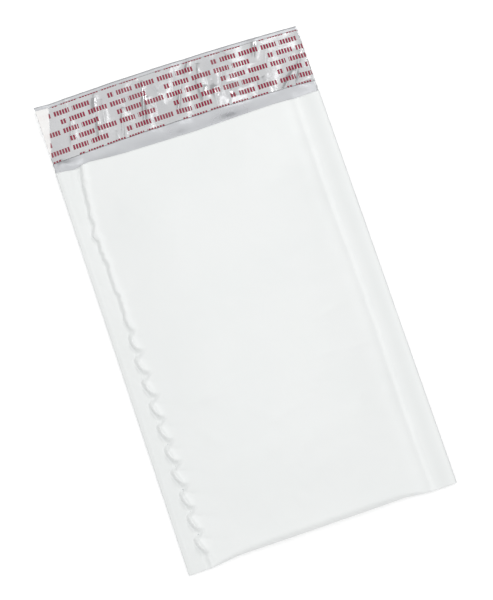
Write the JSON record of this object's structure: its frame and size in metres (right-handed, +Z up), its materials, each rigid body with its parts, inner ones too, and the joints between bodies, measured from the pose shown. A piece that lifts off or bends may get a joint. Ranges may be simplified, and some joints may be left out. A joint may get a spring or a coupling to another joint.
{
  "type": "padded envelope",
  "caption": "Padded envelope lying flat and open: a folded film pouch with a bubble lining, welded side seams and a peel-and-seal flap.",
  "frame": {"origin": "centre of the footprint, on the surface that the envelope lies on", "axes": "+Z up, out of the front panel; +Y along the envelope from the bottom fold to the flap; +X across it"},
  "size_m": [0.1524, 0.2686, 0.0126],
  "materials": {
    "outer_film": "satin white polythene film, grey on its inner face",
    "bubble_film": "clear glossy bubble film",
    "adhesive": "glossy pressure-sensitive glue",
    "liner_film": "glossy grey film with rows of dark red marks"
  },
  "bodies": {
    "root": {"outer_film": "outer_film", "bubble_lining": "bubble_film", "adhesive_strip": "adhesive", "release_liner": "liner_film"}
  },
  "joints": []
}
